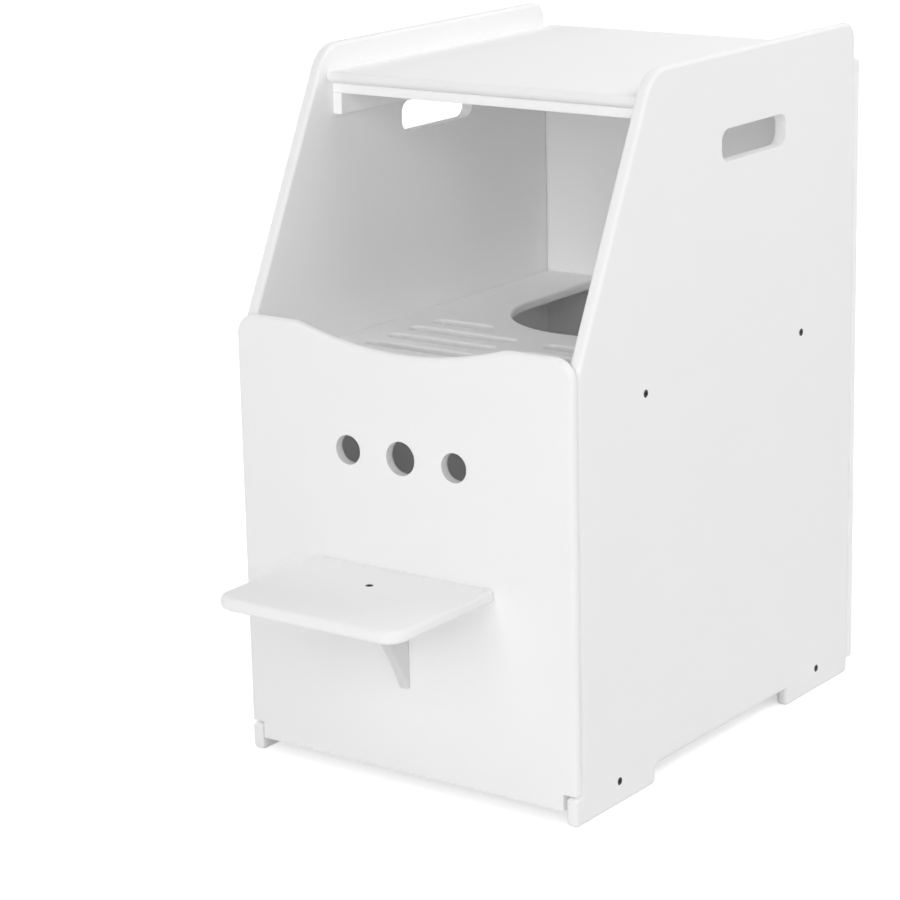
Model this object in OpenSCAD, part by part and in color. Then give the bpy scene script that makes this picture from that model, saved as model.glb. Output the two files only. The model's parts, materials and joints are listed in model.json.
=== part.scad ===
// Litter cabinet with a pull-out drawer: a cat steps up, walks in over a slotted platform
// and drops through the opening behind it into the litter tray in the drawer below.
// Front faces -Y, +X is to the right as seen from the front, +Z is up, millimetres.
// The origin is on the floor, under the middle of the whole object.

/* [Carcass] */
// Width over the two side panels
outer_w = 460; // [400:1:560]
// Thickness of a side panel
side_t = 15; // [12:1:20]
// Depth of a side panel, without its toe
side_d = 600; // [560:1:720]
// Height of a side panel
side_h = 815; // [760:1:980]
// Height at which the front edge of a side starts to lean back
lean_start_h = 512; // [480:1:560]
// How far the leaning front edge goes back at the top
lean_run = 150; // [90:1:190]
// Radius of the front top corner of a side
top_front_r = 45; // [20:1:60]
// Radius of the rear top corner of a side
top_rear_r = 20; // [10:1:50]
// Radius of the soft bend where the front edge starts to lean
lean_bend_r = 40; // [10:1:80]

/* [Feet] */
// Height of the arch between the front and the rear foot
arch_h = 22; // [16:1:26]
// Length of the front foot
front_foot_l = 150; // [110:1:190]
// Length of the rear foot
rear_foot_l = 178; // [120:1:200]
// Radius of the foot ends that face the arch
foot_r = 14; // [6:1:16]
// Radius of the outer bottom corners
heel_r = 7; // [4:1:12]
// Height of the toe that fills the notch in the drawer front
toe_h = 34; // [26:1:44]
// Radius of the toe's upper front corner
toe_r = 5; // [2:1:8]

/* [Boards] */
// Thickness of the platform and of the bottom board
board_t = 12; // [10:1:16]
// Thickness of the back panel
back_t = 12; // [6:1:16]
// Height of the back panel's lower edge
back_bottom_h = 17; // [12:1:30]
// Height of the platform's upper face
platform_h = 468; // [450:1:500]
// Thickness of the top board
top_t = 15; // [12:1:20]
// Depth of the tray formed by the sides above the top board
top_recess = 30; // [20:1:45]
// Setback of the top board behind the leaning edges
top_setback = 14; // [8:1:20]
// Radius under the front edge of the top board
top_nose_r = 9; // [4:1:11]
// Thickness of the ceiling panel under the top board
ceiling_t = 12; // [9:1:15]
// Setback of the ceiling panel behind the top board's front edge
ceiling_setback = 11; // [5:1:20]
// Width of a ceiling cleat
cleat_w = 12.5; // [10:0.5:18]
// Height of a ceiling cleat
cleat_h = 25; // [18:1:30]

/* [Handle slots] */
// Length of the slot, end to end
handle_l = 143; // [100:1:170]
// Height of the slot
handle_h = 37; // [30:1:40]
// Radius of the slot's corners
handle_r = 14; // [8:1:14]
// Distance of the slot's middle from the front edge
handle_y = 364.5; // [320:0.5:400]
// Distance of the slot's middle below the top of the side
handle_drop = 104.5; // [104:0.5:125]

/* [Platform] */
// Width of the drop opening, whose front end is a half circle
drop_w = 260; // [220:1:290]
// Distance from the front edge to the drop opening
drop_y = 304; // [300:1:350]
// Width of a litter slot
litter_slot_w = 20; // [12:1:24]
// Spacing of the litter slot rows
litter_row_pitch = 43.5; // [34:0.5:44]
// Number of full rows
litter_rows = 4; // [1:1:4]
// Middle of the short row next to the drop opening
short_row_y = 286.5; // [270:0.5:290]
// Distance of the slots' inner ends from the middle line
litter_slot_in = 22; // [16:1:60]
// Distance of the slots' outer ends from the middle line
litter_slot_out = 171; // [150:1:180]
// Inner end of the two short slots
short_slot_in = 86; // [70:1:120]

/* [Drawer front] */
// Thickness of the drawer front
panel_t = 12; // [10:1:18]
// Gap between the closed drawer front and the side panels
panel_gap = 1; // [0.5:0.5:3]
// Height of the drawer front's lower edge
panel_bottom_h = 17; // [10:1:20]
// Height of the drawer front's upper corners
panel_top_h = 529; // [515:1:560]
// Radius of the upper corners
panel_r = 25; // [10:1:40]
// Depth of the dip in the upper edge
dip_h = 22; // [8:1:34]
// Width of the dip
dip_w = 304; // [240:1:340]
// Radius where the dip runs out into the straight edge
dip_end_r = 70; // [20:1:120]
// Clearance between the notches and the toes
toe_gap = 3; // [2:0.5:5]
// Diameter of the two outer vent holes
vent_d = 34; // [20:1:44]
// Diameter of the middle vent hole
vent_mid_d = 39; // [24:1:50]
// Spacing of the vent holes
vent_pitch = 73; // [60:1:90]
// Height of the vent holes
vent_h = 389; // [340:1:420]

/* [Step] */
// Width of the step
step_w = 250; // [200:1:300]
// How far the step reaches forward of the drawer front
step_reach = 183; // [150:1:220]
// Thickness of the step
step_t = 15; // [12:1:20]
// Height of the step's upper face
step_h = 259; // [230:1:300]
// Radius of the step's front corners
step_r = 24; // [8:1:50]
// Thickness of the bracket
bracket_t = 12; // [10:1:18]
// Height of the bracket
bracket_h = 123; // [90:1:150]
// Depth of the bracket under the step
bracket_d = 97; // [70:1:130]
// Depth of the bracket's lower tip
bracket_tip_d = 5; // [3:1:12]
// Radius of the bracket's hollow front edge
bracket_edge_r = 310; // [200:10:600]
// Distance of the step screw from the drawer front
step_screw_y = 62; // [45:1:75]

/* [Drawer box] */
// Height of the drawer box's lower edge
box_bottom_h = 44; // [40:1:60]
// Height of the drawer box's walls
box_h = 150; // [120:1:180]
// Depth of the drawer box
box_d = 520; // [500:1:550]
// Thickness of the drawer box's walls
box_t = 12; // [10:1:15]
// Thickness of the drawer bottom
bottom_t = 6; // [4:1:8]
// Height of the drawer bottom's lower face above the walls' lower edge
bottom_lift = 10; // [8:1:16]
// Depth of the grooves that hold the drawer bottom
groove_d = 6; // [4:1:7]

/* [Litter tray] */
// Gap between the tray's rim and the drawer walls
tray_gap = 3.5; // [2:0.5:6]
// Height of the litter tray
tray_h = 128; // [90:1:132]
// Wall thickness of the litter tray
tray_wall = 3; // [2:0.5:4]
// Width of the tray's rim
tray_rim = 10; // [8:1:14]
// Height of the lip that turns down from the rim
tray_lip_h = 10; // [8:1:20]
// How far each wall leans in towards the floor
tray_draft = 8; // [3:1:14]
// Corner radius of the tray
tray_r = 42; // [25:1:60]

/* [Slides] */
// Room for one slide beside the drawer box
slide_t = 12.7; // [12.7:0.1:13]
// Length of a slide
slide_l = 500; // [450:10:500]
// Distance of the slides behind the side panels' front edge
slide_y = 4; // [2:1:10]
// Height of the slides' middle line above the drawer walls' lower edge
slide_lift = 60; // [45:1:80]
// Thickness of the slides' sheet steel
sheet_t = 1.2; // [1:0.1:1.3]
// Half height of a slide over its rolled races
slide_half_h = 22.8; // [20:0.1:24]
// Diameter of the bearing balls
ball_d = 2.6; // [2.2:0.1:2.8]
// Number of balls in a row
balls = 9; // [5:1:12]
// Length of a ball cage
cage_l = 220; // [160:1:230]

/* [Screws] */
// Diameter of the carcass screws' heads
bolt_head_d = 9; // [8:0.5:10]
// Thickness of the carcass screws' heads
bolt_head_t = 2.5; // [2:0.5:3]
// Diameter of the carcass screws' shanks
bolt_d = 5; // [4:0.5:6]
// Length of the carcass screws
bolt_l = 45; // [38:1:50]
// Length of the screw that goes down through the step
step_bolt_l = 38; // [30:1:42]
// Diameter of the small wood screws' heads
screw_head_d = 7; // [6:0.5:8]
// Diameter of the small wood screws' shanks
screw_d = 3.5; // [3:0.5:4]

/* [Hidden] */

// How many degrees one facet of a rounded outline covers
facet_angle = 7.5;
// Overlap that lets a cut pass cleanly through a face
cut = 1;
// Radial clearance of a screw in its hole
screw_fit = 0.05;
// Clearance between a ball and the races around it
ball_fit = 0.3;
// How far a race wraps round its balls on each side
race_wrap = 70;

// Widths across the carcass
inner_w = outer_w - 2 * side_t;
box_w = inner_w - 2 * slide_t;
box_inner_w = box_w - 2 * box_t;

// Depths, from the side panels' front edge at y = 0
panel_y = -panel_gap - panel_t;
step_y = panel_y - step_reach;
total_d = side_d + back_t - step_y;
front_y = -total_d / 2 - step_y;
box_back_y = -panel_gap + box_d;

// Heights
top_h = side_h - top_recess;
top_under_h = top_h - top_t;
ceiling_under_h = top_under_h - ceiling_t;
cleat_under_h = ceiling_under_h - cleat_h;
platform_under_h = platform_h - board_t;
handle_z = side_h - handle_drop;
top_y = lean_run * (top_h - lean_start_h) / (side_h - lean_start_h) + top_setback;
ceiling_y = top_y + ceiling_setback;
drawer_bottom_h = box_bottom_h + bottom_lift;
tray_h0 = drawer_bottom_h + bottom_t + 0.3;
slide_z = box_bottom_h + slide_lift;

// Screw places, measured from the side panels' front edge
platform_bolt_y = [132, side_d - 125];
bottom_bolt_y = [74, side_d - 80];
cleat_screw_y = [ceiling_y + 130, side_d - 200, side_d - 55];
ceiling_screw_y = [ceiling_y + 30, handle_y + 10, side_d - 30];
back_screw_z = [90, 300, 540, 740];
rail_screw_y = [35, slide_l / 2, slide_l - 35];

// Layout of one slide: distances from the side panel, and heights above its middle line
outer_cage_s = 2.7;
middle_rail_s = 4;
inner_cage_s = 5.5;
outer_ball_s = 6.4;
inner_ball_s = 9.2;
cage_t = 0.6;
rail_screw_head_t = 1;
race_in = ball_d / 2 + ball_fit;
race_out = race_in + sheet_t;
race_mouth = race_in * cos(race_wrap);
outer_ball_h = slide_half_h - race_out;
inner_ball_h = outer_ball_h - race_out - race_in;
cage_y = slide_y + (slide_l - cage_l) / 2;

// ---- Outlines ----

function unit(v) = v / norm(v);
function wrap(a) = a > 180 ? a - 360 : a < -180 ? a + 360 : a;

// Points of the arc of radius r that rounds the corner at b, between a and c
function corner(a, b, c, r) =
    r == 0 ? [b] :
    let (
        u = unit(a - b),
        v = unit(c - b),
        half = acos(u * v) / 2,
        middle = b + unit(u + v) * r / sin(half),
        first = b + u * r / tan(half) - middle,
        last = b + v * r / tan(half) - middle,
        start = atan2(first.y, first.x),
        turn = wrap(atan2(last.y, last.x) - start),
        steps = max(2, ceil(abs(turn) / facet_angle))
    )
    [for (i = [0 : steps]) middle + r * [cos(start + turn * i / steps), sin(start + turn * i / steps)]];

// Closed outline through corners given as [x, y, radius]
function rounded(pts) =
    let (n = len(pts), xy = [for (p = pts) [p.x, p.y]])
    [for (i = [0 : n - 1]) each corner(xy[(i + n - 1) % n], xy[i], xy[(i + 1) % n], pts[i][2])];

// Arc of radius r from a to b that hollows towards the right of the line a to b
function hollow_arc(a, b, r, steps = 16) =
    let (
        chord = b - a,
        side = unit([chord.y, -chord.x]),
        middle = (a + b) / 2 + side * sqrt(r * r - chord * chord / 4),
        start = atan2(a.y - middle.y, a.x - middle.x),
        turn = wrap(atan2(b.y - middle.y, b.x - middle.x) - start)
    )
    [for (i = [0 : steps]) middle + r * [cos(start + turn * i / steps), sin(start + turn * i / steps)]];

// ---- Building blocks ----

// Moves a piece from its place behind the side panels' front edge into the object's frame
module placed() {
    translate([0, front_y, 0]) children();
}

// Board with its outline in the Y-Z plane and its thickness along +X from x
module board_yz(outline, x, t) {
    translate([x, 0, 0]) rotate([90, 0, 90]) linear_extrude(t) polygon(outline);
}

// Board with its outline in the X-Z plane and its thickness along +Y from y
module board_xz(outline, y, t) {
    translate([0, y + t, 0]) rotate([90, 0, 0]) linear_extrude(t) polygon(outline);
}

// Box with its four long edges along X rounded, w by d by h, its middle at the origin
module round_block(w, d, h, r) {
    for (y = [r - d / 2, d / 2 - r], z = [r - h / 2, h / 2 - r])
        translate([-w / 2, y, z]) rotate([0, 90, 0]) cylinder(r = r, h = w, $fn = 48);
    cube([w, d - 2 * r, h], center = true);
    cube([w, d, h - 2 * r], center = true);
}

// Slot with round ends, its length along X, cut along Z through z0 to z1
module round_slot(x0, x1, y, w, z0, z1) {
    translate([0, 0, z0]) {
        translate([x0 + w / 2, y, 0]) cylinder(d = w, h = z1 - z0, $fn = 48);
        translate([x1 - w / 2, y, 0]) cylinder(d = w, h = z1 - z0, $fn = 48);
        translate([x0 + w / 2, y - w / 2, 0]) cube([x1 - x0 - w, w, z1 - z0]);
    }
}

// Screw along -Z from z = 0, with a head sunk flush and a hexagon socket
module sunk_screw(d, l, head_d, head_t) {
    difference() {
        union() {
            translate([0, 0, -head_t]) cylinder(d = head_d, h = head_t, $fn = 32);
            translate([0, 0, -l]) cylinder(d = d, h = l - head_t, $fn = 24);
        }
        translate([0, 0, -head_t * 0.7]) cylinder(d = head_d * 0.45, h = head_t, $fn = 6);
    }
}

// Room for a sunk screw, open towards +Z
module sunk_hole(d, l, head_d, head_t) {
    translate([0, 0, -head_t]) cylinder(r = head_d / 2 + screw_fit, h = head_t + cut, $fn = 32);
    translate([0, 0, -l]) cylinder(r = d / 2 + screw_fit, h = l, $fn = 24);
}

// Turns what points along -Z so that it points away from the face with the given outward normal
module facing(normal) {
    angles = normal.x > 0 ? [0, 90, 0] : normal.x < 0 ? [0, -90, 0]
           : normal.y > 0 ? [-90, 0, 0] : normal.y < 0 ? [90, 0, 0]
           : normal.z > 0 ? [0, 0, 0] : [180, 0, 0];
    rotate(angles) children();
}

// ---- Screw places, each a point and the outward normal of the face that holds the head ----

carcass_bolt_places = [
    for (s = [-1, 1]) each concat(
        [for (y = platform_bolt_y) [[s * outer_w / 2, y, platform_h - board_t / 2], [s, 0, 0]]],
        [for (y = bottom_bolt_y) [[s * outer_w / 2, y, arch_h + board_t / 2], [s, 0, 0]]])
];
back_screw_places = concat(
    [for (s = [-1, 1], z = back_screw_z) [[s * (outer_w - side_t) / 2, side_d + back_t, z], [0, 1, 0]]],
    [for (s = [-1, 1]) [[s * (drop_w + inner_w) / 4, side_d + back_t, platform_h - board_t / 2], [0, 1, 0]]],
    [for (x = [-inner_w / 3, 0, inner_w / 3]) [[x, side_d + back_t, arch_h + board_t / 2], [0, 1, 0]]]);
cleat_screw_places = [
    for (s = [-1, 1], y = cleat_screw_y)
        [[s * (inner_w / 2 - cleat_w), y, cleat_under_h + cleat_h / 2], [-s, 0, 0]]
];
top_screw_places = [
    for (s = [-1, 1], y = ceiling_screw_y) [[s * inner_w / 3, y, ceiling_under_h], [0, 0, -1]]
];
front_screw_places = [
    for (s = [-1, 1], z = [0.25, 0.75])
        [[s * box_inner_w * 0.32, box_t - panel_gap, box_bottom_h + box_h * z], [0, 1, 0]]
];
step_fixing_places = concat(
    [for (s = [-1, 1]) [[s * step_w * 0.34, -panel_gap, step_h - step_t / 2], [0, 1, 0]]],
    [[[0, -panel_gap, step_h - step_t - bracket_h * 0.24], [0, 1, 0]]]);
corner_screw_places = [
    for (s = [-1, 1], y = [-panel_gap + box_t / 2, box_back_y - box_t / 2], z = [0.18, 0.87])
        [[s * box_w / 2, y, box_bottom_h + box_h * z], [s, 0, 0]]
];
cabinet_rail_screw_places = [
    for (s = [-1, 1], y = rail_screw_y) [[s * (inner_w / 2 - sheet_t), slide_y + y, slide_z], [-s, 0, 0]]
];
drawer_rail_screw_places = [
    for (s = [-1, 1], y = rail_screw_y) [[s * (box_w / 2 + sheet_t), slide_y + y, slide_z], [s, 0, 0]]
];

// Puts a screw or its room at each place in the list
module at_places(places) {
    for (p = places) translate(p[0]) facing(p[1]) children();
}

module bolt(l = bolt_l) { sunk_screw(bolt_d, l, bolt_head_d, bolt_head_t); }
module bolt_hole(l = bolt_l) { sunk_hole(bolt_d, l + cut, bolt_head_d, bolt_head_t); }
module wood_screw(l) { sunk_screw(screw_d, l, screw_head_d, 2); }
module wood_screw_hole(l) { sunk_hole(screw_d, l + cut, screw_head_d, 2); }

// Flat screw that sits on a slide's sheet, with only its head above it
module rail_screw(l) {
    cylinder(d = screw_head_d, h = rail_screw_head_t, $fn = 32);
    translate([0, 0, -l]) cylinder(d = screw_d, h = l, $fn = 24);
}
module rail_screw_hole(l) {
    translate([0, 0, -l - cut]) cylinder(r = screw_d / 2 + screw_fit, h = l + 2 * cut, $fn = 24);
}

// ---- Carcass ----

// Outline of a side panel: toe, two feet with an arch, leaning front edge, rounded top
side_outline = rounded([
    [panel_y, 0, heel_r],
    [front_foot_l, 0, foot_r],
    [front_foot_l, arch_h, 3],
    [side_d - rear_foot_l, arch_h, 3],
    [side_d - rear_foot_l, 0, foot_r],
    [side_d, 0, heel_r],
    [side_d, side_h, top_rear_r],
    [lean_run, side_h, top_front_r],
    [0, lean_start_h, lean_bend_r],
    [0, toe_h, 2],
    [panel_y, toe_h, toe_r]
]);

module side_panel(s) {
    color("white") placed() difference() {
        board_yz(side_outline, s > 0 ? inner_w / 2 : -outer_w / 2, side_t);
        // hand slot
        translate([s * (inner_w + side_t) / 2, handle_y, handle_z])
            round_block(side_t + 2 * cut, handle_l, handle_h, handle_r);
        at_places(carcass_bolt_places) bolt_hole();
        at_places(back_screw_places) wood_screw_hole(35);
        at_places(cleat_screw_places) wood_screw_hole(cleat_w + side_t - 4);
        at_places(cabinet_rail_screw_places) rail_screw_hole(side_t - 3);
    }
}

module left_side_panel() { side_panel(-1); }
module right_side_panel() { side_panel(1); }

module back_panel() {
    color("white") placed() difference() {
        board_xz(rounded([
            [-outer_w / 2, back_bottom_h, 3],
            [outer_w / 2, back_bottom_h, 3],
            [outer_w / 2, top_under_h, 3],
            [-outer_w / 2, top_under_h, 3]
        ]), side_d, back_t);
        at_places(back_screw_places) wood_screw_hole(35);
    }
}

module bottom_board() {
    color("white") placed() difference() {
        translate([-inner_w / 2, 0, arch_h]) cube([inner_w, side_d, board_t]);
        at_places(carcass_bolt_places) bolt_hole();
        at_places(back_screw_places) wood_screw_hole(35);
    }
}

module platform_board() {
    color("whitesmoke") placed() difference() {
        translate([-inner_w / 2, 0, platform_under_h]) cube([inner_w, side_d, board_t]);
        // drop opening: a half circle in front, then straight sides up to the back panel
        translate([0, drop_y + drop_w / 2, platform_under_h - cut]) {
            cylinder(d = drop_w, h = board_t + 2 * cut, $fn = 128);
            translate([-drop_w / 2, 0, 0]) cube([drop_w, side_d, board_t + 2 * cut]);
        }
        for (s = [-1, 1], row = [0 : litter_rows]) {
            inner_end = row == 0 ? short_slot_in : litter_slot_in;
            outer_end = row == 0 ? litter_slot_out - 3 : litter_slot_out;
            round_slot(min(s * inner_end, s * outer_end), max(s * inner_end, s * outer_end),
                short_row_y - row * litter_row_pitch, litter_slot_w,
                platform_under_h - cut, platform_h + cut);
        }
        at_places(carcass_bolt_places) bolt_hole();
        at_places(back_screw_places) wood_screw_hole(35);
    }
}

module top_board() {
    // side view: square upper edge, round nose below
    outline = rounded([
        [top_y, top_under_h, top_nose_r],
        [side_d + back_t, top_under_h, 0],
        [side_d + back_t, top_h, 2],
        [top_y, top_h, 3]
    ]);
    color("white") placed() difference() {
        board_yz(outline, -inner_w / 2, inner_w);
        at_places(top_screw_places) wood_screw_hole(ceiling_t + 10);
    }
}

module ceiling_panel() {
    color("white") placed() difference() {
        translate([-inner_w / 2, ceiling_y, ceiling_under_h])
            cube([inner_w, side_d - ceiling_y, ceiling_t]);
        at_places(top_screw_places) wood_screw_hole(ceiling_t + 10);
    }
}

module cleat(s) {
    color("white") placed() difference() {
        translate([s > 0 ? inner_w / 2 - cleat_w : -inner_w / 2, ceiling_y, cleat_under_h])
            cube([cleat_w, side_d - ceiling_y, cleat_h]);
        at_places(cleat_screw_places) wood_screw_hole(cleat_w + side_t - 4);
    }
}

module left_cleat() { cleat(-1); }
module right_cleat() { cleat(1); }

module carcass_bolts() {
    color("dimgray") placed() at_places(carcass_bolt_places) bolt();
}

module back_panel_screws() {
    color("silver") placed() at_places(back_screw_places) wood_screw(35);
}

module cleat_screws() {
    color("silver") placed() at_places(cleat_screw_places) wood_screw(cleat_w + side_t - 4);
}

module top_board_screws() {
    color("silver") placed() at_places(top_screw_places) wood_screw(ceiling_t + 10);
}

// ---- Drawer front and step ----

// Upper edge of the drawer front from right to left: a shallow arc between two soft run-outs
dip_arc_r = (pow(dip_w / 2, 2) + pow(dip_h, 2)) / (2 * dip_h) - dip_end_r;
dip_angle = 2 * atan(dip_h / (dip_w / 2));
dip_end_x = (dip_arc_r + dip_end_r) * sin(dip_angle);
dip_edge = concat(
    [for (a = [0 : dip_angle / 5 : dip_angle + 0.001])
        [dip_end_x - dip_end_r * sin(a), panel_top_h - dip_end_r * (1 - cos(a))]],
    [for (a = [dip_angle : -dip_angle / 10 : -dip_angle - 0.001])
        [dip_arc_r * sin(a), panel_top_h - dip_h + dip_arc_r * (1 - cos(a))]],
    [for (a = [dip_angle : -dip_angle / 5 : -0.001])
        [-dip_end_x + dip_end_r * sin(a), panel_top_h - dip_end_r * (1 - cos(a))]]);

notch_h = toe_h + toe_gap;
notch_x = inner_w / 2 - toe_gap;

panel_outline = concat(
    corner([-outer_w / 2, notch_h], [-outer_w / 2, panel_top_h], [0, panel_top_h], panel_r),
    [for (i = [len(dip_edge) - 1 : -1 : 0]) dip_edge[i]],
    corner([0, panel_top_h], [outer_w / 2, panel_top_h], [outer_w / 2, notch_h], panel_r),
    [[outer_w / 2, notch_h], [notch_x, notch_h], [notch_x, panel_bottom_h],
     [-notch_x, panel_bottom_h], [-notch_x, notch_h], [-outer_w / 2, notch_h]]);

module drawer_front() {
    color("white") placed() difference() {
        board_xz(panel_outline, panel_y, panel_t);
        for (i = [-1 : 1])
            translate([i * vent_pitch, panel_y - cut, vent_h]) rotate([-90, 0, 0])
                cylinder(d = i == 0 ? vent_mid_d : vent_d, h = panel_t + 2 * cut, $fn = 64);
        at_places(front_screw_places) wood_screw_hole(box_t + 9);
        at_places(step_fixing_places) bolt_hole();
    }
}

module step_board() {
    outline = rounded([
        [-step_w / 2, step_y, step_r],
        [step_w / 2, step_y, step_r],
        [step_w / 2, panel_y, 0],
        [-step_w / 2, panel_y, 0]
    ]);
    color("white") placed() difference() {
        translate([0, 0, step_h - step_t]) linear_extrude(step_t) polygon(outline);
        translate([0, panel_y - step_screw_y, step_h]) bolt_hole(step_bolt_l);
        at_places(step_fixing_places) bolt_hole();
    }
}

module step_bracket() {
    low = step_h - step_t - bracket_h;
    outline = concat(
        [[panel_y, low], [panel_y, low + bracket_h]],
        [for (p = hollow_arc([panel_y - bracket_d, low + bracket_h],
            [panel_y - bracket_tip_d, low], bracket_edge_r)) p]);
    color("white") placed() difference() {
        board_yz(outline, -bracket_t / 2, bracket_t);
        translate([0, panel_y - step_screw_y, step_h]) bolt_hole(step_bolt_l);
        at_places(step_fixing_places) bolt_hole();
    }
}

module step_bolt() {
    color("dimgray") placed() translate([0, panel_y - step_screw_y, step_h]) bolt(step_bolt_l);
}

module step_fixing_bolts() {
    color("silver") placed() at_places(step_fixing_places) bolt();
}

// ---- Drawer box ----

// Groove along the four walls that takes the edges of the drawer bottom
module bottom_groove() {
    translate([-box_inner_w / 2 - groove_d, box_t - panel_gap - groove_d, drawer_bottom_h])
        cube([box_inner_w + 2 * groove_d, box_d - 2 * box_t + 2 * groove_d, bottom_t]);
}

module drawer_side(s) {
    color("wheat") placed() difference() {
        translate([s > 0 ? box_inner_w / 2 : -box_w / 2, -panel_gap, box_bottom_h])
            cube([box_t, box_d, box_h]);
        bottom_groove();
        at_places(corner_screw_places) wood_screw_hole(35);
        at_places(drawer_rail_screw_places) rail_screw_hole(box_t - 3);
    }
}

module drawer_left_side() { drawer_side(-1); }
module drawer_right_side() { drawer_side(1); }

module drawer_end(y) {
    color("wheat") placed() difference() {
        translate([-box_inner_w / 2, y, box_bottom_h]) cube([box_inner_w, box_t, box_h]);
        bottom_groove();
        at_places(corner_screw_places) wood_screw_hole(35);
        at_places(front_screw_places) wood_screw_hole(box_t + 9);
    }
}

module drawer_inner_front() { drawer_end(-panel_gap); }
module drawer_back() { drawer_end(box_back_y - box_t); }

module drawer_bottom() {
    color("wheat") placed() bottom_groove();
}

module drawer_front_screws() {
    color("silver") placed() at_places(front_screw_places) wood_screw(box_t + 9);
}

module drawer_corner_screws() {
    color("silver") placed() at_places(corner_screw_places) wood_screw(35);
}

// ---- Litter tray ----

tray_w = box_inner_w - 2 * tray_gap;
tray_d = box_d - 2 * box_t - 2 * tray_gap;
tray_mid_y = -panel_gap + box_d / 2;

// Thin plate with round corners, w by d, at height z
module tray_slice(w, d, r, z, t) {
    translate([0, tray_mid_y, z])
        linear_extrude(t) polygon(rounded([
            [-w / 2, -d / 2, r], [w / 2, -d / 2, r], [w / 2, d / 2, r], [-w / 2, d / 2, r]]));
}

module litter_tray() {
    rim_in = 2 * tray_rim;
    foot_in = rim_in + 2 * tray_draft;
    wall = 2 * tray_wall;
    top = tray_h0 + tray_h;
    color("slategray") placed() difference() {
        union() {
            hull() {
                tray_slice(tray_w - foot_in, tray_d - foot_in, tray_r - tray_draft, tray_h0, 1);
                tray_slice(tray_w - rim_in, tray_d - rim_in, tray_r, top - 1, 1);
            }
            // rim with a lip that turns down
            difference() {
                tray_slice(tray_w, tray_d, tray_r + tray_rim, top - tray_lip_h, tray_lip_h);
                tray_slice(tray_w - wall, tray_d - wall, tray_r + tray_rim - tray_wall,
                    top - tray_lip_h - cut, tray_lip_h - tray_wall + cut);
            }
        }
        hull() {
            tray_slice(tray_w - foot_in - wall, tray_d - foot_in - wall,
                tray_r - tray_draft - tray_wall, tray_h0 + tray_wall, 1);
            tray_slice(tray_w - rim_in - wall, tray_d - rim_in - wall,
                tray_r - tray_wall, top, cut);
        }
    }
}

// ---- Slides ----

// Plate of a slide from s0 to s1 and from height z0 to z1, along the whole slide
module plate(s0, s1, z0, z1) {
    translate([s0, slide_y, slide_z + z0]) cube([s1 - s0, slide_l, z1 - z0]);
}

// Rolled race that wraps over (up = 1) or under (up = -1) the balls at distance s and height h
module race(s, h, up) {
    reach = race_out + cut;
    translate([s, slide_y, slide_z + h]) difference() {
        rotate([-90, 0, 0]) cylinder(r = race_out, h = slide_l, $fn = 48);
        translate([0, -cut, 0]) rotate([-90, 0, 0]) cylinder(r = race_in, h = slide_l + 2 * cut, $fn = 48);
        translate([-reach, -cut, up > 0 ? race_mouth - 2 * reach : -race_mouth])
            cube([2 * reach, slide_l + 2 * cut, 2 * reach]);
    }
}

// Ball cage: a web at s, two strips that reach to the balls, and the balls at height h
module cage(s, ball_s, h) {
    reach = ball_s + ball_d / 2 - s;
    pitch = cage_l / balls;
    translate([0, cage_y, slide_z]) {
        translate([s, 0, -h - cage_t / 2]) cube([cage_t, cage_l, 2 * h + cage_t]);
        for (z = [-h, h]) {
            translate([s, 0, z - cage_t / 2]) cube([reach, cage_l, cage_t]);
            for (i = [0 : balls - 1])
                translate([ball_s, (i + 0.5) * pitch, z]) sphere(d = ball_d, $fn = 24);
        }
    }
}

// Turns the thickness of a slide so that s runs inwards from the side panel on side k
module beside(k) {
    if (k < 0) translate([-inner_w / 2, 0, 0]) children();
    else mirror([1, 0, 0]) translate([-inner_w / 2, 0, 0]) children();
}

module cabinet_rail(k) {
    web_top = outer_ball_h + race_mouth + 1.6;
    color("gainsboro") placed() difference() {
        beside(k) {
            plate(0, sheet_t, -web_top, web_top);
            for (z = [-web_top, web_top - sheet_t]) plate(0, outer_ball_s - race_in, z, z + sheet_t);
            for (up = [-1, 1]) race(outer_ball_s, up * outer_ball_h, up);
        }
        at_places(cabinet_rail_screw_places) rail_screw_hole(side_t - 3);
    }
}

module left_cabinet_rail() { cabinet_rail(-1); }
module right_cabinet_rail() { cabinet_rail(1); }

module middle_rail(k) {
    web_top = outer_ball_h - race_mouth - 0.6;
    color("gainsboro") placed() beside(k) {
        plate(middle_rail_s, middle_rail_s + sheet_t, -web_top, web_top);
        for (up = [-1, 1]) {
            race(outer_ball_s, up * outer_ball_h, -up);
            race(inner_ball_s, up * inner_ball_h, up);
        }
    }
}

module left_middle_rail() { middle_rail(-1); }
module right_middle_rail() { middle_rail(1); }

module drawer_rail(k) {
    web_top = inner_ball_h - race_mouth - 0.6;
    color("gainsboro") placed() difference() {
        beside(k) {
            plate(slide_t - sheet_t, slide_t, -web_top, web_top);
            for (up = [-1, 1]) race(inner_ball_s, up * inner_ball_h, -up);
        }
        at_places(drawer_rail_screw_places) rail_screw_hole(box_t - 3);
    }
}

module left_drawer_rail() { drawer_rail(-1); }
module right_drawer_rail() { drawer_rail(1); }

module outer_ball_cages() {
    color("darkgray") placed() for (k = [-1, 1])
        beside(k) cage(outer_cage_s, outer_ball_s, outer_ball_h);
}

module inner_ball_cages() {
    color("darkgray") placed() for (k = [-1, 1])
        beside(k) cage(inner_cage_s, inner_ball_s, inner_ball_h);
}

module cabinet_rail_screws() {
    color("silver") placed() at_places(cabinet_rail_screw_places) rail_screw(side_t - 3);
}

module drawer_rail_screws() {
    color("silver") placed() at_places(drawer_rail_screw_places) rail_screw(box_t - 3);
}

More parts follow.
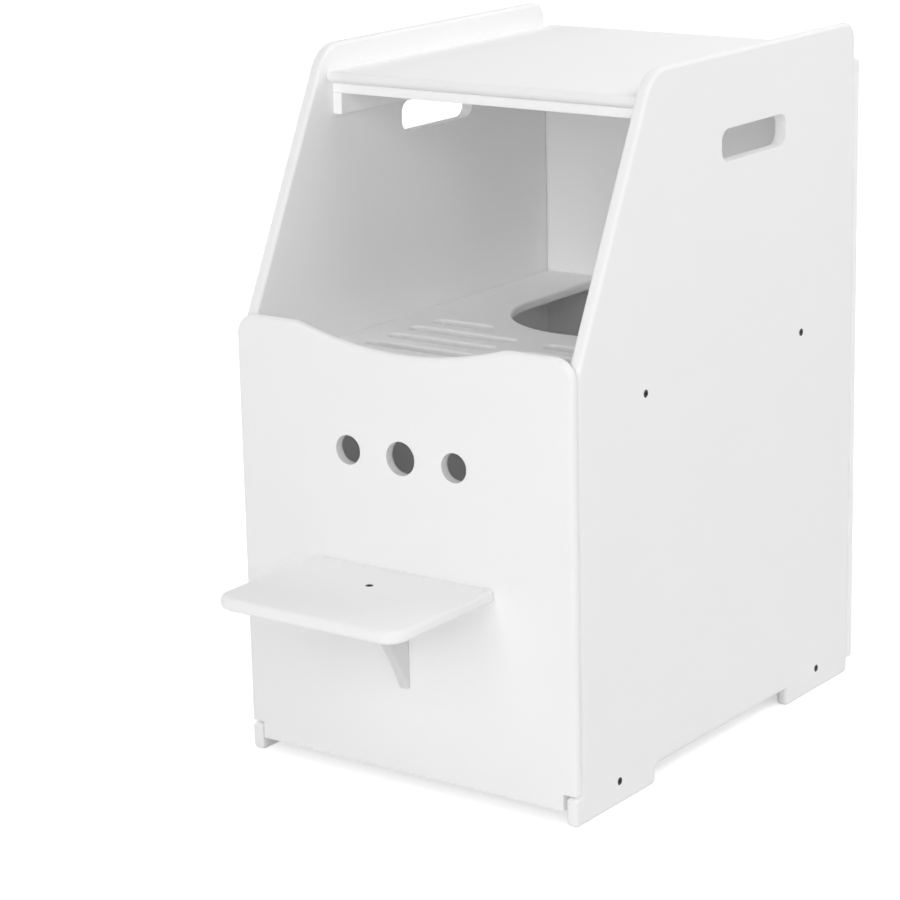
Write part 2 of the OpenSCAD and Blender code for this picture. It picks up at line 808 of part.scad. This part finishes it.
left_side_panel();
right_side_panel();
back_panel();
bottom_board();
platform_board();
top_board();
ceiling_panel();
left_cleat();
right_cleat();
carcass_bolts();
back_panel_screws();
cleat_screws();
top_board_screws();
drawer_front();
step_board();
step_bracket();
step_bolt();
step_fixing_bolts();
drawer_left_side();
drawer_right_side();
drawer_inner_front();
drawer_back();
drawer_bottom();
drawer_front_screws();
drawer_corner_screws();
litter_tray();
left_cabinet_rail();
right_cabinet_rail();
left_middle_rail();
right_middle_rail();
left_drawer_rail();
right_drawer_rail();
outer_ball_cages();
inner_ball_cages();
cabinet_rail_screws();
drawer_rail_screws();
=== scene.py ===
# Litter cabinet for a cat: white painted boards screwed together, with a pull-out drawer on
# telescopic slides. The sections follow the cabinet as it is put together.
import json
import math

import bpy
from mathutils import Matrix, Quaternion, Vector

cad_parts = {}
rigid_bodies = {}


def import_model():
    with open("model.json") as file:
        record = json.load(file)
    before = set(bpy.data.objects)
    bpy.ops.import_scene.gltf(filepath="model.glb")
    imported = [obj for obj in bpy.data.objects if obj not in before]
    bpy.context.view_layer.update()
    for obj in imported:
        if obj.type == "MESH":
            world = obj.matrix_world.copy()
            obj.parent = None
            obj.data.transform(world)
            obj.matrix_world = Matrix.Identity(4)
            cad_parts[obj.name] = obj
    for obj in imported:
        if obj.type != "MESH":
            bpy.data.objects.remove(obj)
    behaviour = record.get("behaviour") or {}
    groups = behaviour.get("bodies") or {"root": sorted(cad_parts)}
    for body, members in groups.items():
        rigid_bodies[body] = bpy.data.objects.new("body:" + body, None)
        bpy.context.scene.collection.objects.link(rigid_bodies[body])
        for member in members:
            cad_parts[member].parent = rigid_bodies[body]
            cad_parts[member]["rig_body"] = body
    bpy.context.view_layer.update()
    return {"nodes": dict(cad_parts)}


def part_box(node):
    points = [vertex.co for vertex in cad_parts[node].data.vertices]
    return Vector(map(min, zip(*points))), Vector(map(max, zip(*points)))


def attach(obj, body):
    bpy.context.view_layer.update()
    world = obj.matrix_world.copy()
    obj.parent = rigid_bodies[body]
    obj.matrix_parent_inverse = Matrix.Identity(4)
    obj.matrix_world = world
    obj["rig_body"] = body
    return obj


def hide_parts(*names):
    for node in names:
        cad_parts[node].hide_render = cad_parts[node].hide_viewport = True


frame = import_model()
bpy.ops.object.select_all(action="DESELECT")

# ---- View ----
# A camera with a long lens stands at the right front, a little above the top of the cabinet.
# It is rolled by about a degree.
view_azimuth, view_elevation = math.radians(36.25), math.radians(15.32)
view_roll = math.radians(-1.31)
view_distance, view_limit = 3.595, 50
view_target = Vector((-0.1166, 0.0320, 0.3232))
lens_mm, film_width_mm = 119.8, 36


def way_to(azimuth, elevation):
    """The direction to a place so far round from the front, towards the right, and so far up."""
    return Vector((
        math.sin(azimuth) * math.cos(elevation),
        -math.cos(azimuth) * math.cos(elevation),
        math.sin(elevation),
    ))


view_from = way_to(view_azimuth, view_elevation)
bpy.ops.object.camera_add(location=view_target + view_from * view_distance)
camera = bpy.context.object
camera.rotation_mode = "QUATERNION"
camera.rotation_quaternion = view_from.to_track_quat("Z", "Y") @ Quaternion((0, 0, 1), view_roll)
camera.data.sensor_width = film_width_mm
camera.data.lens = lens_mm
camera.data.clip_end = view_limit
bpy.context.scene.camera = camera
bpy.context.scene.view_settings.view_transform = "Standard"

# ---- Studio ----
# A white floor without an end in a white room. The room gives little light of its own. Eight
# softboxes all round do, 4 m away: most of it comes from the front and from the right.
white = (1, 1, 1, 1)
room_light = 0.25
floor_size = 30
floor_grey = (0.80, 0.80, 0.80, 1)
floor_roughness, floor_sheen = 0.6, 0.2
floor_glow_near = 0.45
floor_glow_start, floor_glow_full = 0.9, 3.0
light_bounces, diffuse_bounces = 16, 12
softbox_distance, softbox_width = 4.0, 1.8
softbox_centre = Vector((0, 0, 0.4))
bpy.context.scene.cycles.max_bounces = light_bounces
bpy.context.scene.cycles.diffuse_bounces = diffuse_bounces


def add_seen_rays(nodes, links):
    """A socket that is 1 for what the camera sees, itself or in metal or glass, and 0 for light."""
    rays = nodes.new("ShaderNodeLightPath")
    seen = rays.outputs["Is Camera Ray"]
    for kind in ("Is Glossy Ray", "Is Transmission Ray"):
        either = nodes.new("ShaderNodeMath")
        either.operation = "MAXIMUM"
        links.new(seen, either.inputs[0])
        links.new(rays.outputs[kind], either.inputs[1])
        seen = either.outputs["Value"]
    return seen


room = bpy.data.worlds.new("studio_room")
bpy.context.scene.world = room
room.use_nodes = True
room_nodes, room_links = room.node_tree.nodes, room.node_tree.links
room_shader = room_nodes["Background"]
room_shader.inputs["Color"].default_value = white
room_strength = room_nodes.new("ShaderNodeMapRange")
room_strength.inputs["To Min"].default_value = room_light
room_links.new(add_seen_rays(room_nodes, room_links), room_strength.inputs["Value"])
room_links.new(room_strength.outputs["Result"], room_shader.inputs["Strength"])

bpy.ops.mesh.primitive_plane_add(size=floor_size)
floor = bpy.context.object
floor.name = "studio_floor"
floor_paint = bpy.data.materials.new("studio_floor_white")
floor_paint.use_nodes = True
floor_nodes, floor_links = floor_paint.node_tree.nodes, floor_paint.node_tree.links
floor_shader = floor_nodes["Principled BSDF"]
floor_shader.inputs["Roughness"].default_value = floor_roughness
floor_shader.inputs["Specular IOR Level"].default_value = floor_sheen
floor_shader.inputs["Emission Color"].default_value = white
floor_seen = add_seen_rays(floor_nodes, floor_links)
floor_tone = floor_nodes.new("ShaderNodeMix")
floor_tone.data_type = "RGBA"
floor_tone.inputs["A"].default_value = floor_grey
floor_tone.inputs["B"].default_value = white
floor_links.new(floor_seen, floor_tone.inputs["Factor"])
floor_links.new(floor_tone.outputs["Result"], floor_shader.inputs["Base Color"])
floor_place = floor_nodes.new("ShaderNodeTexCoord")
floor_distance = floor_nodes.new("ShaderNodeVectorMath")
floor_distance.operation = "LENGTH"
floor_links.new(floor_place.outputs["Object"], floor_distance.inputs[0])
floor_glow = floor_nodes.new("ShaderNodeMapRange")
floor_glow.interpolation_type = "SMOOTHSTEP"
floor_glow.inputs["From Min"].default_value = floor_glow_start
floor_glow.inputs["From Max"].default_value = floor_glow_full
floor_glow.inputs["To Min"].default_value = floor_glow_near
floor_links.new(floor_distance.outputs["Value"], floor_glow.inputs["Value"])
floor_glow_seen = floor_nodes.new("ShaderNodeMath")
floor_glow_seen.operation = "MULTIPLY"
floor_links.new(floor_glow.outputs["Result"], floor_glow_seen.inputs[0])
floor_links.new(floor_seen, floor_glow_seen.inputs[1])
floor_links.new(floor_glow_seen.outputs["Value"], floor_shader.inputs["Emission Strength"])
floor.data.materials.append(floor_paint)

# Each softbox: its name, degrees round from the front, degrees up, and watts.
for name, azimuth, elevation, power in (
    ("low_front_softbox", 10, 8, 16),
    ("front_softbox", 5, 22, 34),
    ("front_right_softbox", 45, 20, 30),
    ("high_right_softbox", 90, 50, 18),
    ("right_rear_softbox", 130, 40, 46),
    ("rear_softbox", 180, 50, 29),
    ("left_softbox", -90, 20, 45),
    ("top_softbox", 0, 80, 10),
):
    lamp_from = way_to(math.radians(azimuth), math.radians(elevation))
    bpy.ops.object.light_add(type="AREA", location=softbox_centre + lamp_from * softbox_distance)
    lamp = bpy.context.object
    lamp.name = name
    lamp.data.size = softbox_width
    lamp.data.energy = power
    lamp.rotation_mode = "QUATERNION"
    lamp.rotation_quaternion = lamp_from.to_track_quat("Z", "Y")
bpy.ops.object.select_all(action="DESELECT")

# ---- Side boards ----
# 15 mm boards cut to the cabinet's side view, with a routed hand slot. Every edge is rounded
# over, and a satin white lacquer covers them. They carry everything else.
paint_white = (0.91, 0.91, 0.91, 1)
lacquer_sheen = 0.25
lacquer_cloud, lacquer_ripples, lacquer_ripple_height = 0.05, 900, 0.00004
ripple_detail, ripple_roughness = 3, 0.45
cloud_scale, cloud_detail = 7, 4
cloud_tint = (0.80, 0.80, 0.81, 1)
side_edge_radius = 0.0048
opening_edge_radius, opening_edge_steps = 0.0006, 3
# A ring of edges below the first size is a screw hole, and below the second one an opening.
screw_hole_limit, opening_limit = 0.012, 0.2
weld_distance = 0.00002
flat_angle, sharp_angle, smooth_angle = math.radians(0.5), math.radians(35), math.radians(40)
# The feet end at the arch at these places, measured from the middle towards the back. Their
# rounded corners, and the arch above them, lie below these heights.
front_foot_end, rear_foot_end = -0.058, 0.214
foot_end_reach, foot_corner_top, arch_top = 0.016, 0.0145, 0.0225
foot_corner_share, rear_foot_cut = 0.4, 0.026


def start_skin(name, colours, numbers):
    """A node group that takes colours and numbers and gives a colour, roughness and height."""
    skin = bpy.data.node_groups.new(name, "ShaderNodeTree")
    for socket in colours:
        skin.interface.new_socket(socket, in_out="INPUT", socket_type="NodeSocketColor")
    for socket in numbers:
        skin.interface.new_socket(socket, in_out="INPUT", socket_type="NodeSocketFloat")
    skin.interface.new_socket("Colour", in_out="OUTPUT", socket_type="NodeSocketColor")
    for socket in ("Roughness", "Height"):
        skin.interface.new_socket(socket, in_out="OUTPUT", socket_type="NodeSocketFloat")
    return skin, skin.nodes.new("NodeGroupInput"), skin.nodes.new("NodeGroupOutput")


def add_noise(skin, place, detail):
    """A noise texture that lies at the given place."""
    noise = skin.nodes.new("ShaderNodeTexNoise")
    noise.inputs["Detail"].default_value = detail
    skin.links.new(place, noise.inputs["Vector"])
    return noise


def add_gloss(skin, given, made, noise):
    """Lets the roughness run between the group's two limits with a noise."""
    gloss = skin.nodes.new("ShaderNodeMapRange")
    skin.links.new(noise.outputs["Fac"], gloss.inputs["Value"])
    skin.links.new(given.outputs["Gloss Low"], gloss.inputs["To Min"])
    skin.links.new(given.outputs["Gloss High"], gloss.inputs["To Max"])
    skin.links.new(gloss.outputs["Result"], made.inputs["Roughness"])


def build_lacquer_skin():
    """Colour, roughness and height of a sprayed lacquer: a fine ripple and faint cloudiness."""
    skin, given, made = start_skin(
        "lacquer_skin", ("Colour",), ("Cloud", "Ripple Scale", "Gloss Low", "Gloss High"))
    nodes, links = skin.nodes, skin.links
    place = nodes.new("ShaderNodeTexCoord").outputs["Object"]
    ripple = add_noise(skin, place, ripple_detail)
    ripple.inputs["Roughness"].default_value = ripple_roughness
    links.new(given.outputs["Ripple Scale"], ripple.inputs["Scale"])
    links.new(ripple.outputs["Fac"], made.inputs["Height"])
    cloud = add_noise(skin, place, cloud_detail)
    cloud.inputs["Scale"].default_value = cloud_scale
    strength = nodes.new("ShaderNodeMath")
    strength.operation = "MULTIPLY"
    links.new(cloud.outputs["Fac"], strength.inputs[0])
    links.new(given.outputs["Cloud"], strength.inputs[1])
    shade = nodes.new("ShaderNodeMix")
    shade.data_type = "RGBA"
    shade.blend_type = "MULTIPLY"
    shade.inputs["B"].default_value = cloud_tint
    links.new(strength.outputs["Value"], shade.inputs["Factor"])
    links.new(given.outputs["Colour"], shade.inputs["A"])
    links.new(shade.outputs["Result"], made.inputs["Colour"])
    add_gloss(skin, given, made, cloud)
    return skin


lacquer_skin = build_lacquer_skin()


def coat(name, skin, values, relief):
    """A new material that wears a skin with its own values, and its shader. Relief in metres."""
    material = bpy.data.materials.new(name)
    material.use_nodes = True
    nodes, links = material.node_tree.nodes, material.node_tree.links
    shader = nodes["Principled BSDF"]
    layer = nodes.new("ShaderNodeGroup")
    layer.node_tree = skin
    for socket, value in values.items():
        layer.inputs[socket].default_value = value
    bump = nodes.new("ShaderNodeBump")
    bump.inputs["Distance"].default_value = relief
    links.new(layer.outputs["Height"], bump.inputs["Height"])
    links.new(layer.outputs["Colour"], shader.inputs["Base Color"])
    links.new(layer.outputs["Roughness"], shader.inputs["Roughness"])
    links.new(bump.outputs["Normal"], shader.inputs["Normal"])
    return material, shader


def mix_lacquer(
    name, colour, gloss_low, gloss_high,
    cloud=lacquer_cloud, ripples=lacquer_ripples, ripple_height=lacquer_ripple_height,
):
    """A lacquer, foil or plastic in a colour. Ripples are counted per metre, heights in metres."""
    lacquer, shader = coat(name, lacquer_skin, {
        "Colour": colour,
        "Cloud": cloud,
        "Ripple Scale": ripples,
        "Gloss Low": gloss_low,
        "Gloss High": gloss_high,
    }, ripple_height)
    shader.inputs["Specular IOR Level"].default_value = lacquer_sheen
    return lacquer


def copy_board(node):
    """A copy of a board of the frame, with its loose triangles merged into whole faces."""
    board = bpy.data.objects.new(node + "_finished", frame["nodes"][node].data.copy())
    bpy.context.scene.collection.objects.link(board)
    bpy.ops.object.select_all(action="DESELECT")
    bpy.context.view_layer.objects.active = board
    board.select_set(True)
    bpy.ops.object.mode_set(mode="EDIT")
    bpy.ops.mesh.select_all(action="SELECT")
    bpy.ops.mesh.remove_doubles(threshold=weld_distance)
    bpy.ops.mesh.dissolve_limited(angle_limit=flat_angle)
    bpy.ops.object.mode_set(mode="OBJECT")
    return board


def pick_points(board, place_y, top):
    """Selects the board's points near a place along it and below a height, ready to move."""
    bpy.ops.object.mode_set(mode="EDIT")
    bpy.ops.mesh.select_mode(type="VERT")
    bpy.ops.mesh.select_all(action="DESELECT")
    bpy.ops.object.mode_set(mode="OBJECT")
    for point in board.data.vertices:
        point.select = abs(point.co.y - place_y) < foot_end_reach and point.co.z < top
    bpy.ops.object.mode_set(mode="EDIT")


def shape_feet(board):
    """Gives the feet smaller corners at the arch, and moves the rear foot's end back."""
    share = (1, foot_corner_share, foot_corner_share)
    for foot_end in (front_foot_end, rear_foot_end):
        pick_points(board, foot_end, foot_corner_top)
        bpy.ops.transform.resize(value=share, center_override=(0, foot_end, 0))
        bpy.ops.object.mode_set(mode="OBJECT")
    pick_points(board, rear_foot_end, arch_top)
    bpy.ops.transform.translate(value=(0, rear_foot_cut, 0))
    bpy.ops.object.mode_set(mode="OBJECT")


def keep_rings(mesh, smallest, largest):
    """Of the selected edges, keeps the connected rings whose longest side is in the range."""
    edges = [edge for edge in mesh.edges if edge.select]
    next_of = {point: point for edge in edges for point in edge.vertices}

    def ring_of(point):
        while next_of[point] != point:
            point = next_of[point]
        return point

    for edge in edges:
        next_of[ring_of(edge.vertices[0])] = ring_of(edge.vertices[1])
    rings = {}
    for point in next_of:
        rings.setdefault(ring_of(point), []).append(mesh.vertices[point].co)
    kept = set()
    for ring, places in rings.items():
        longest = max(max(along) - min(along) for along in zip(*places))
        if smallest <= longest < largest:
            kept.add(ring)
    for edge in edges:
        if ring_of(edge.vertices[0]) not in kept:
            edge.select = False


def round_rings(board, edge_radius, steps, smallest, largest):
    """Rounds the sharp edges over on the rings in the size range."""
    bpy.ops.object.mode_set(mode="EDIT")
    bpy.ops.mesh.select_mode(type="EDGE")
    bpy.ops.mesh.select_all(action="DESELECT")
    bpy.ops.mesh.edges_select_sharp(sharpness=sharp_angle)
    bpy.ops.object.mode_set(mode="OBJECT")
    keep_rings(board.data, smallest, largest)
    bpy.ops.object.mode_set(mode="EDIT")
    bpy.ops.mesh.bevel(offset=edge_radius, segments=steps, affect="EDGES", loop_slide=False)
    bpy.ops.object.mode_set(mode="OBJECT")


def round_over(node, edge_radius, material, steps=3, openings=False, board=None):
    """The given board, or a copy of the node, rounded over and painted, in the node's place.

    With openings, holes wider than a screw hole get a finer edge than the outline. No point
    goes past the node's box.
    """
    packed = frame["nodes"][node]
    board = board or copy_board(node)
    if openings:
        round_rings(
            board, opening_edge_radius, opening_edge_steps, screw_hole_limit, opening_limit)
        round_rings(board, edge_radius, steps, opening_limit, math.inf)
    else:
        round_rings(board, edge_radius, steps, screw_hole_limit, math.inf)
    lowest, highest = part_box(node)
    for point in board.data.vertices:
        limits = zip(point.co, lowest, highest)
        point.co = [min(max(place, low), high) for place, low, high in limits]
    bpy.ops.object.shade_smooth_by_angle(angle=smooth_angle)
    bpy.ops.object.modifier_add(type="WEIGHTED_NORMAL")
    board.modifiers[-1].keep_sharp = True
    bpy.ops.object.modifier_apply(modifier=board.modifiers[-1].name)
    board.select_set(False)
    board.data.materials.clear()
    board.data.materials.append(material)
    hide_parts(node)
    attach(board, packed["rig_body"])
    return board


cabinet_white = mix_lacquer(
    "cabinet_white_lacquer", paint_white, gloss_low=0.62, gloss_high=0.72)
for node in ("left_side_panel", "right_side_panel"):
    board = copy_board(node)
    shape_feet(board)
    round_over(node, side_edge_radius, cabinet_white, openings=True, board=board)

# ---- Back, bottom and platform ----
# 12 mm boards, the back screwed over the rear edges of the sides. The platform has a routed
# bay for the cat to drop through and rows of slots for the litter from its paws.
# The inside boards get a paler white than the outside ones. This is painted light, brighter to
# stand in for light that does not reach inside the cabinet.
inner_painted_light_white = (0.94, 0.94, 0.94, 1)
back_edge_radius, bottom_edge_radius, platform_edge_radius = 0.0029, 0.0015, 0.0030
inner_painted_light_lacquer = mix_lacquer(
    "inner_painted_light_white_lacquer", inner_painted_light_white, gloss_low=0.64, gloss_high=0.74)
round_over("back_panel", back_edge_radius, inner_painted_light_lacquer)
round_over("bottom_board", bottom_edge_radius, cabinet_white)
round_over("platform_board", platform_edge_radius, inner_painted_light_lacquer)

# ---- Top ----
# The top board is let in between the raised side boards. It lies on a thinner ceiling board,
# which rests on two battens screwed to the sides.
top_edge_radius, ceiling_edge_radius = 0.0022, 0.0015
round_over("top_board", top_edge_radius, cabinet_white)
# The ceiling and battens take the same paler inside white, as painted light.
for node in ("ceiling_panel", "left_cleat", "right_cleat"):
    round_over(node, ceiling_edge_radius, inner_painted_light_lacquer)

# ---- Drawer front and step ----
# The front board covers the whole opening, with a dip to step over and three round holes. The
# step is screwed to it from behind and stands on a bracket with a hollow front edge, whose grey
# lacquer is painted shade from the step above it.
# The bracket is white. Its grey is painted shade that stands in for the step's shadow on it.
bracket_painted_shade_colour = (0.72, 0.72, 0.72, 1)
front_edge_radius, bracket_edge_radius = 0.0050, 0.0022
step_edge_radius, step_edge_steps = 0.0050, 4
bracket_painted_shade_lacquer = mix_lacquer(
    "bracket_painted_shade_grey_lacquer", bracket_painted_shade_colour, gloss_low=0.42, gloss_high=0.52)
round_over("drawer_front", front_edge_radius, cabinet_white, openings=True)
round_over("step_board", step_edge_radius, cabinet_white, step_edge_steps)
round_over("step_bracket", bracket_edge_radius, bracket_painted_shade_lacquer)

# ---- Drawer box ----
# Boards with a matt white foil, screwed at the corners, and a thinner bottom let into grooves.
# The box hangs between the slides, behind the drawer front.
foil_paper_white = (0.87, 0.87, 0.86, 1)
box_edge_radius, box_edge_steps = 0.0008, 2
foil_white = mix_lacquer(
    "drawer_white_foil", foil_paper_white, gloss_low=0.50, gloss_high=0.62,
    cloud=0.10, ripples=2600, ripple_height=0.00003,
)
for node in (
    "drawer_left_side", "drawer_right_side", "drawer_inner_front", "drawer_back", "drawer_bottom",
):
    round_over(node, box_edge_radius, foil_white, box_edge_steps)

# ---- Litter tray ----
# A tray moulded in grey plastic with a fine mould grain, a turned-out rim and leaning walls.
# It stands loose in the drawer box and is lifted out to be emptied.
plastic_grey = (0.52, 0.51, 0.50, 1)
tray_edge_radius = 0.0012
tray_grey = mix_lacquer(
    "tray_grey_plastic", plastic_grey, gloss_low=0.42, gloss_high=0.58,
    cloud=0.12, ripples=3200, ripple_height=0.00008,
)
round_over("litter_tray", tray_edge_radius, tray_grey)

# ---- Slides ----
# Channels of zinc-plated sheet steel, rolled lengthwise, that run inside one another on ball
# cages. The outer ones are screwed to the side boards and the inner ones to the drawer box.
zinc_grey, zinc_bloom = (0.52, 0.53, 0.55, 1), (0.38, 0.39, 0.41, 1)
ball_grey, ball_bloom = (0.60, 0.60, 0.61, 1), (0.48, 0.48, 0.49, 1)
rolling_stretch = (1, 0.02, 1)
rolling_scale, rolling_detail, rolling_height = 1400, 2, 0.00001
bloom_scale, bloom_detail = 90, 5


def build_steel_skin():
    """Colour, roughness and height of plated steel: rolling lines along Y and a faint bloom."""
    skin, given, made = start_skin(
        "steel_skin", ("Colour", "Bloom Colour"), ("Gloss Low", "Gloss High"))
    nodes, links = skin.nodes, skin.links
    place = nodes.new("ShaderNodeTexCoord").outputs["Object"]
    along = nodes.new("ShaderNodeMapping")
    along.inputs["Scale"].default_value = rolling_stretch
    links.new(place, along.inputs["Vector"])
    rolling = add_noise(skin, along.outputs["Vector"], rolling_detail)
    rolling.inputs["Scale"].default_value = rolling_scale
    links.new(rolling.outputs["Fac"], made.inputs["Height"])
    add_gloss(skin, given, made, rolling)
    bloom = add_noise(skin, place, bloom_detail)
    bloom.inputs["Scale"].default_value = bloom_scale
    shade = nodes.new("ShaderNodeMix")
    shade.data_type = "RGBA"
    links.new(bloom.outputs["Fac"], shade.inputs["Factor"])
    links.new(given.outputs["Colour"], shade.inputs["A"])
    links.new(given.outputs["Bloom Colour"], shade.inputs["B"])
    links.new(shade.outputs["Result"], made.inputs["Colour"])
    return skin


steel_skin = build_steel_skin()


def plate_steel(name, colour, bloom_colour, gloss_low, gloss_high):
    """A plated steel in a colour with a bloom, between two limits of gloss."""
    steel, shader = coat(name, steel_skin, {
        "Colour": colour,
        "Bloom Colour": bloom_colour,
        "Gloss Low": gloss_low,
        "Gloss High": gloss_high,
    }, rolling_height)
    shader.inputs["Metallic"].default_value = 1
    return steel


def paint_node(node, material):
    """Gives a piece of the frame its finish, in its own mesh."""
    mesh = frame["nodes"][node].data
    mesh.materials.clear()
    mesh.materials.append(material)


rail_zinc = plate_steel("rail_zinc", zinc_grey, zinc_bloom, gloss_low=0.24, gloss_high=0.46)
for node in (
    "left_cabinet_rail", "right_cabinet_rail", "left_middle_rail", "right_middle_rail",
    "left_drawer_rail", "right_drawer_rail",
):
    paint_node(node, rail_zinc)
ball_steel = plate_steel("ball_cage_steel", ball_grey, ball_bloom, gloss_low=0.16, gloss_high=0.30)
for node in ("outer_ball_cages", "inner_ball_cages"):
    paint_node(node, ball_steel)

# ---- Screws ----
# Connecting screws with blackened heads where they show, in the side boards and the step.
# The other ones are zinc-plated wood screws.
black, black_bloom = (0.035, 0.035, 0.037, 1), (0.05, 0.05, 0.053, 1)
screw_grey, screw_bloom = (0.46, 0.46, 0.48, 1), (0.34, 0.34, 0.36, 1)
black_screws = ("carcass_bolts", "step_bolt")
zinc_screws = (
    "back_panel_screws", "cleat_screws", "top_board_screws", "step_fixing_bolts",
    "drawer_front_screws", "drawer_corner_screws", "cabinet_rail_screws", "drawer_rail_screws",
)
screw_black = plate_steel("screw_black", black, black_bloom, gloss_low=0.38, gloss_high=0.55)
screw_zinc = plate_steel("screw_zinc", screw_grey, screw_bloom, gloss_low=0.24, gloss_high=0.40)
for screws, plating in ((black_screws, screw_black), (zinc_screws, screw_zinc)):
    for node in screws:
        paint_node(node, plating)
